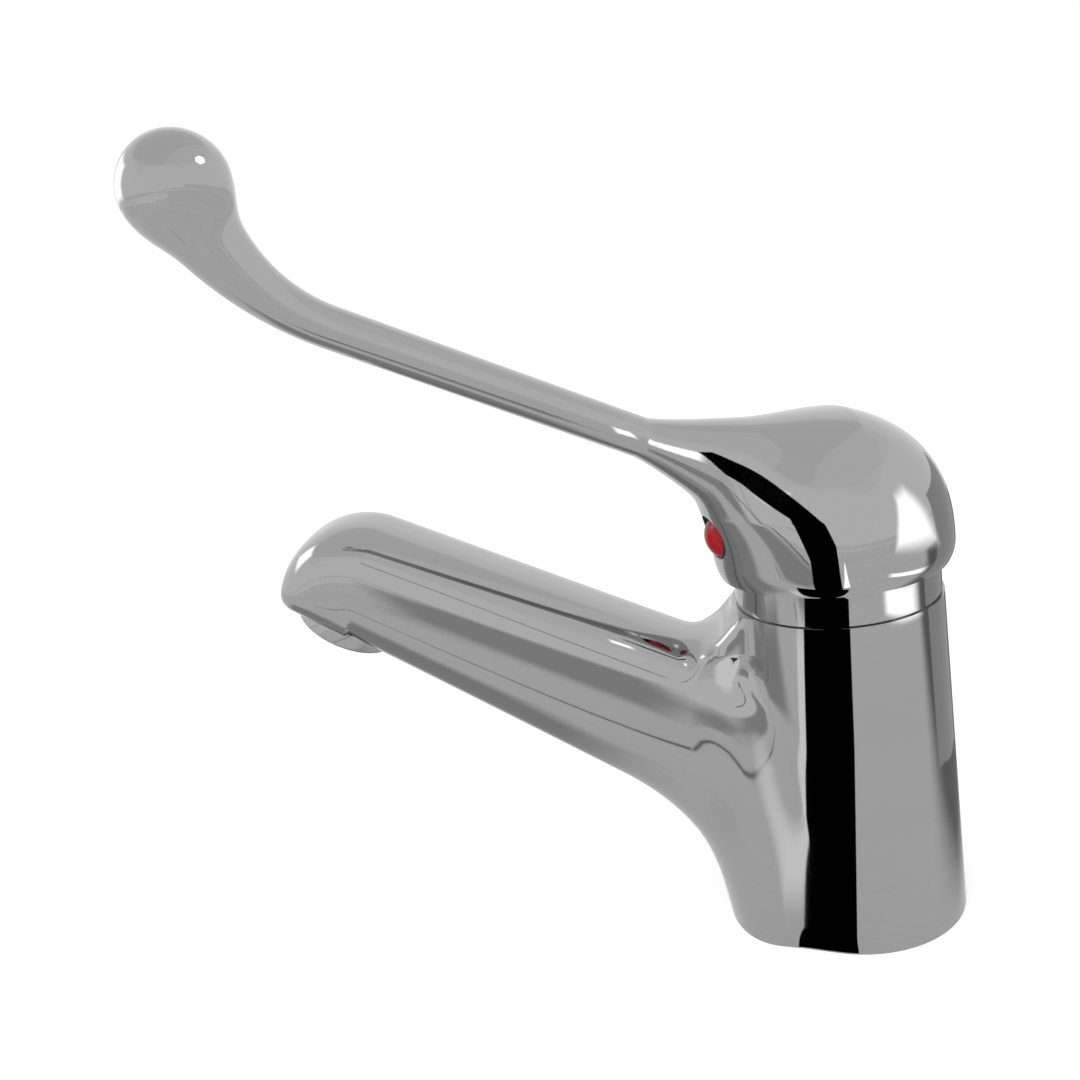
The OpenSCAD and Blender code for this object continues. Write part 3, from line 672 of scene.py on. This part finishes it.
def make_body():
    """The casting with its foot recess, cartridge chamber and outlet seat."""
    step = BODY_STEP
    points, faces = skin(body_shape, *BODY_SPAN, step)
    body = add_mesh("body", points, faces)
    chamber_z = chamber_low[2] - CHAMBER_PLAY
    shelf = nut_z - CHAMBER_PLAY
    chamber_r = chamber_high[0] + FIT
    above_z = body_h + CLEAR
    cuts = lathe("cuts", [(0, chamber_z), (chamber_r, chamber_z), (chamber_r, shelf), (THREAD_R, shelf),
                          (THREAD_R, body_h), (SEAT_CUT_R, body_h), (SEAT_CUT_R, above_z), (0, above_z)])
    recess = lathe("recess", [(0, -CLEAR), (DECK_CUT_R, -CLEAR), (DECK_CUT_R, 0), (recess_r, 0),
                              (recess_r, recess_h), (0, recess_h)])
    for mount in frame["record"]["mounts"]:
        if mount["kind"] == "threaded_hole":
            x, y = [v / MM for v in mount["pos_m"][:2]]
            hole = rod("hole", mount["dims"]["r_mm"], recess_h - OVER, recess_h + mount["dims"]["length_mm"],
                       Matrix.Translation((x, y, 0)))
            combine(recess, hole, "UNION")
    seal_in = SEAL_IN - FIT
    seal_out = seal_high[0] + FIT
    groove = lathe("groove", [(seal_in, -OVER), (seal_out, -OVER), (seal_out, seal_high[2]),
                              (seal_in, seal_high[2])])
    combine(cuts, recess, "UNION")
    combine(cuts, groove, "UNION")
    mouth_r = rim_r + FIT
    seat_r = sleeve_r + FIT
    seat_h = RIM_H + SLEEVE_LEN + WASHER_T
    outlet = lathe("outlet", [(0, -FAR_CLEAR), (mouth_r, -FAR_CLEAR), (mouth_r, RIM_H), (seat_r, RIM_H),
                              (seat_r, seat_h), (0, seat_h)], at_outlet)
    combine(cuts, outlet, "UNION")
    combine(body, cuts, "DIFFERENCE")
    polish(body, body_shape)
    return dress(body, "chrome", "body", "body_casting")


def make_lever():
    """The hub with its hollow, the arm and the ball end."""
    step = LEVER_STEP
    points, faces = skin(lever_shape, *LEVER_SPAN, step)
    lever = add_mesh("lever", points, faces)
    lever.data.transform(turned)
    hollow = [(HOLLOW_R * math.sin(a), pivot_z - HOLLOW_R * math.cos(a))
              for a in np.linspace(0, math.pi, FINE_SIDES // 2 + 1)]
    hollow[0] = (0, pivot_z - HOLLOW_R)
    hollow[-1] = (0, pivot_z + HOLLOW_R)
    cuts = lathe("cuts", hollow, sides=FINE_SIDES)
    combine(cuts, rod("boss", BOSS_R, BOSS_Z, HUB_TOP), "DIFFERENCE")
    combine(cuts, rod("below", HUB_CUT_R, hub_z - CLEAR, hub_z), "UNION")
    socket = square_rod("socket", SOCKET_SIDE, BOSS_Z - OVER, SOCKET_TOP)
    socket.data.transform(turned)
    combine(cuts, socket, "UNION")
    combine(cuts, rod("seat", PLUG_R + FIT, -PLUG_LEN, FAR_CLEAR, at_index), "UNION")
    combine(lever, cuts, "DIFFERENCE")
    polish(lever, lever_shape, turned)
    return dress(lever, "chrome", "handle", "lever_casting")


def make_collar():
    """The collar ring with a fine bevel at its two edges."""
    bevel = 0.35
    bevel_angle = 30
    inner = collar_r - COLLAR_WALL
    outline = [(inner, body_h), (collar_r - bevel, body_h), (collar_r, body_h + bevel),
               (collar_r, collar_top - bevel), (collar_r - bevel, collar_top), (inner, collar_top)]
    collar = smooth(lathe("collar", outline, sides=COLLAR_SIDES), bevel_angle)
    return dress(collar, "chrome", "body", "collar_ring")


def make_aerator():
    """The rim under the nose with a soft outer edge, and its sleeve."""
    bevel = 0.6
    round_r = 0.7
    inner = sleeve_r - SLEEVE_WALL
    top = RIM_H + SLEEVE_LEN
    edge = [(rim_r - round_r + round_r * math.cos(a), round_r - round_r * math.sin(a))
            for a in np.linspace(math.pi / 2, 0, EDGE_POINTS)]
    outline = [(inner, bevel), (inner + bevel, 0), *edge, (rim_r, RIM_H), (sleeve_r, RIM_H),
               (sleeve_r, top), (inner, top)]
    rim = smooth(lathe("aerator_rim", outline, at_outlet, sides=FINE_SIDES))
    return dress(rim, "chrome", "body", "aerator_housing")


def make_button():
    """The dark holder and the red domed lens in the front of the hub."""
    bore = PLUG_R - PLUG_WALL
    edge = 0.25
    dome_angle = 50
    holder = lathe("button_holder", [(0, -PLUG_LEN), (PLUG_R, -PLUG_LEN), (PLUG_R, -edge), (PLUG_R - edge, 0),
                                     (bore, 0), (bore, -LENS_SEAT), (0, -LENS_SEAT)], at_index)
    dress(smooth(holder), "black_plastic", "handle", "index_plug")
    lens_r = bore - FIT / 2
    ball_r = (lens_r ** 2 + LENS_DOME ** 2) / (2 * LENS_DOME)
    reach = math.asin(lens_r / ball_r)
    dome = [(ball_r * math.sin(a), LENS_DOME - ball_r + ball_r * math.cos(a))
            for a in np.linspace(reach, 0, DOME_POINTS)]
    dome[-1] = (0, LENS_DOME)
    lens = lathe("button_lens", [(0, -LENS_SEAT), (lens_r, -LENS_SEAT), *dome], at_index)
    dress(smooth(lens, dome_angle), "red_lens", "handle", "index_lens")


make_body()
make_lever()
make_collar()
make_aerator()
make_button()
for node, finish in NODE_FINISHES.items():
    part = frame["nodes"][node]
    part.data.materials.clear()
    part.data.materials.append(FINISHES[finish])


def glow(name, strength, soft=0.0):
    """A plain light-giving finish for the studio's cards, which can fade out towards a card's rim."""
    mat = bpy.data.materials.new(name)
    mat.use_nodes = True
    tree = mat.node_tree
    tree.nodes.clear()
    shader = tree.nodes.new("ShaderNodeEmission")
    shader.inputs["Strength"].default_value = strength
    shader.inputs["Color"].default_value = (1, 1, 1, 1)
    output = tree.nodes.new("ShaderNodeOutputMaterial")
    if not soft:
        tree.links.new(shader.outputs["Emission"], output.inputs["Surface"])
        return mat
    inward = tree.nodes.new("ShaderNodeAttribute")
    inward.attribute_name = "inward"
    fade = tree.nodes.new("ShaderNodeMapRange")
    fade.interpolation_type = "SMOOTHSTEP"
    fade.inputs["From Max"].default_value = soft
    tree.links.new(inward.outputs["Fac"], fade.inputs["Value"])
    mix = tree.nodes.new("ShaderNodeMixShader")
    tree.links.new(fade.outputs["Result"], mix.inputs["Fac"])
    tree.links.new(tree.nodes.new("ShaderNodeBsdfTransparent").outputs["BSDF"], mix.inputs[1])
    tree.links.new(shader.outputs["Emission"], mix.inputs[2])
    tree.links.new(mix.outputs[0], output.inputs["Surface"])
    return mat


def card(name, corners, mat):
    """A studio card that only reflections see, from its corners in millimetres.

    Where its finish fades, its middle is marked 1 and its rim 0.
    """
    count = len(corners)
    if mat.node_tree.nodes.get("Attribute"):
        middle = np.mean(corners, axis=0)
        obj = add_mesh(name, [*corners, middle], [(i, (i + 1) % count, count) for i in range(count)])
        inward = obj.data.attributes.new("inward", "FLOAT", "POINT")
        inward.data[count].value = 1
    else:
        obj = add_mesh(name, corners, [range(count)])
    obj.data.materials.append(mat)
    obj.visible_camera = False
    obj.visible_diffuse = False
    obj.visible_shadow = False
    obj.visible_transmission = False


def side_card(name, x, places, mat):
    """A card across X, from the y and z of its corners."""
    card(name, [(x, y, z) for y, z in places], mat)


def back_card(name, y, places, mat):
    """A card across Y, from the x and z of its corners."""
    card(name, [(x, y, z) for x, z in places], mat)


def flat_card(name, z, places, mat):
    """A card across Z, from the x and y of its corners."""
    card(name, [(x, y, z) for x, y in places], mat)


def upright(name, distance, azimuths, heights, mat):
    """A curved card round the column's axis, with azimuths in degrees from the camera to the nose."""
    turns = np.radians(np.linspace(*azimuths, CARD_POINTS))
    low = [(distance * math.cos(a), -distance * math.sin(a), heights[0]) for a in turns]
    high = [(x, y, heights[1]) for x, y, z in reversed(low)]
    card(name, low + high, mat)


def make_cards():
    """Flags and white cards, which only the polished metal sees."""
    black = glow("black flag", 0)
    line = glow("dark line", 0.1)
    white = glow("white card", 3)
    soft_white = glow("soft white card", 3, soft=0.6)
    # Height of the cards that lie on the floor
    lie = 0.3

    # The tall flag in front of the column and the hub, which gives the black stripe, and the lights beside it
    flag_x = 31
    # The band stands this far behind the flag, which covers it where the two overlap
    behind = 0.01
    side_card("dark_flag", flag_x, [
        (-4, 0), (0, 50), (2, 86.2), (0, 87), (-1, 102), (-3, 108), (-16.5, 124), (-20, 129), (-24, 127),
        (-21.5, 116), (-12.5, 110), (-8.5, 98), (-8.5, 87), (-15.5, 86.2), (-24, 27), (-20.5, 0)], black)
    flat_card("dark_sweep", lie, [(22, -2), (19, -15.5), (flag_x, -20.5), (flag_x, -4)], black)
    side_card("light_band", flag_x + behind, [
        (-20.5, 0), (-24, 27), (-15.5, 86.2), (-21, 86.2), (-26.5, 55), (-27.5, 40), (-24.5, 0)],
        glow("light band", 1.3, soft=0.35))
    side_card("sliver", flag_x, [(0.3, 88.5), (2.2, 88.5), (0.8, 98)], white)

    # The windows on the hub's rear, the collar ring, the ball end, the nose and the arm's root
    window_y = 45
    back_card("hub_window", window_y, [(4, 88), (52, 88), (46, 104), (34, 130), (20, 130)], soft_white)
    back_card("collar_window", window_y, [(12, 71), (12, 81), (60, 74.5), (60, 63.5)], soft_white)
    back_card("ball_window", -92, [
        (50, 209), (56, 209), (59, 213.5), (56, 218), (50, 218), (47, 213.5)], white)
    back_card("front_window", -300, [(-130, 170), (50, 170), (50, 310), (-130, 310)], soft_white)
    side_card("root_window", 49, [(-31, 118), (-21, 118), (-14, 133), (-24, 133)], soft_white)

    # Lines and tones on the spout's flank, under it and at the back
    flat_card("floor_line", 2 * lie, [
        (115, -45), (131, -98), (154, -160), (166, -200), (169, -200), (157, -160), (135, -98), (119, -45)],
        line)
    side_card("edge_line", 69, [
        (-108, 134), (-81.2, 119), (-53.3, 100), (-26, 85), (-26, 86.4), (-53.3, 101.6), (-81.2, 120.6),
        (-108, 136)], line)
    side_card("flank_sweep", 100, [(-20, 76), (-20, 40), (-40, 18), (-140, 62), (-140, 94), (-110, 96)],
              glow("flank sweep", 0.46, soft=0.4))
    flat_card("fillet_sweep", lie, [(-40, -55), (60, -55), (85, -100), (100, -280), (-120, -280)],
              glow("fillet sweep", 0.42, soft=0.5))
    flat_card("back_sweep", lie, [(22, 18), (35, 400), (-500, 500), (-500, 50), (-60, 18)],
              glow("back sweep", 0.2, soft=0.2))
    upright("back_flag", 100, (-94, -140), (0, 120), glow("back flag", 0.45))

    # The tent round the object
    tent_h = 1200
    half = 1300
    upright("tent", 1200, (-180, 180), (0, tent_h), glow("tent", 0.8))
    flat_card("ceiling", tent_h, [(-half, -half), (half, -half), (half, half), (-half, half)],
              glow("ceiling", 0.95))


def make_floor():
    """A pale floor that takes the object's shadow and fades into the background."""
    mat = bpy.data.materials.new("pale floor")
    mat.use_nodes = True
    tree = mat.node_tree
    shader = tree.nodes["Principled BSDF"]
    shader.inputs["Base Color"].default_value = (0.86, 0.86, 0.86, 1)
    shader.inputs["Roughness"].default_value = 0.9
    shader.inputs["Specular IOR Level"].default_value = 0.1
    shader.inputs["Emission Color"].default_value = (1, 1, 1, 1)
    path = tree.nodes.new("ShaderNodeLightPath")
    glow_low = 0.2
    glow_seen = 0.45
    light = spread(tree.nodes, path.outputs["Is Camera Ray"], glow_low, glow_seen)
    tree.links.new(light, shader.inputs["Emission Strength"])
    half = 4000
    corners = [(-half, -half, 0), (half, -half, 0), (half, half, 0), (-half, half, 0)]
    floor = add_mesh("floor", corners, [range(4)])
    floor.data.materials.append(mat)


def make_world():
    """White to the camera and in reflections, softer as a light."""
    world = bpy.data.worlds.new("studio")
    world.use_nodes = True
    bpy.context.scene.world = world
    tree = world.node_tree
    tree.nodes.clear()
    path = tree.nodes.new("ShaderNodeLightPath")
    seen = path.outputs["Is Camera Ray"]
    for ray in ("Is Glossy Ray", "Is Transmission Ray"):
        either = tree.nodes.new("ShaderNodeMath")
        either.operation = "MAXIMUM"
        tree.links.new(seen, either.inputs[0])
        tree.links.new(path.outputs[ray], either.inputs[1])
        seen = either.outputs[0]
    mix = tree.nodes.new("ShaderNodeMixShader")
    tree.links.new(seen, mix.inputs["Fac"])
    for socket, strength in ((1, 0.7), (2, 1)):
        background = tree.nodes.new("ShaderNodeBackground")
        background.inputs["Color"].default_value = (1, 1, 1, 1)
        background.inputs["Strength"].default_value = strength
        tree.links.new(background.outputs[0], mix.inputs[socket])
    output = tree.nodes.new("ShaderNodeOutputWorld")
    tree.links.new(mix.outputs[0], output.inputs["Surface"])


def make_lamp():
    """One large soft lamp above the spout's side."""
    light = bpy.data.lights.new("soft lamp", "AREA")
    light.energy = LAMP_POWER
    light.size = LAMP_SIZE * MM
    lamp = bpy.data.objects.new("soft lamp", light)
    lamp.location = Vector(LAMP_PLACE) * MM
    lamp.rotation_euler = (Vector(LAMP_AIM) * MM - lamp.location).to_track_quat("-Z", "Y").to_euler()
    lamp.visible_glossy = False
    bpy.context.scene.collection.objects.link(lamp)


def make_camera():
    """The photograph's viewpoint."""
    place = Vector(CAMERA_PLACE) * MM
    yaw, pitch, roll = [math.radians(v) for v in CAMERA_TURNS]
    up = Vector((0, 0, 1))
    forward = Vector((-math.cos(yaw), math.sin(yaw), 0)) * math.cos(pitch) - up * math.sin(pitch)
    right = forward.cross(up).normalized()
    above = right.cross(forward)
    right, above = (right * math.cos(roll) + above * math.sin(roll),
                    above * math.cos(roll) - right * math.sin(roll))
    camera_data = bpy.data.cameras.new("camera")
    camera_data.lens = CAMERA_LENS
    camera_data.clip_start = CAMERA_NEAR * MM
    camera = bpy.data.objects.new("camera", camera_data)
    camera.matrix_world = Matrix((
        (right.x, above.x, -forward.x, place.x),
        (right.y, above.y, -forward.y, place.y),
        (right.z, above.z, -forward.z, place.z),
        (0, 0, 0, 1)))
    bpy.context.scene.collection.objects.link(camera)
    bpy.context.scene.camera = camera


make_floor()
make_cards()
make_world()
make_lamp()
make_camera()
bpy.context.scene.view_settings.view_transform = "Standard"
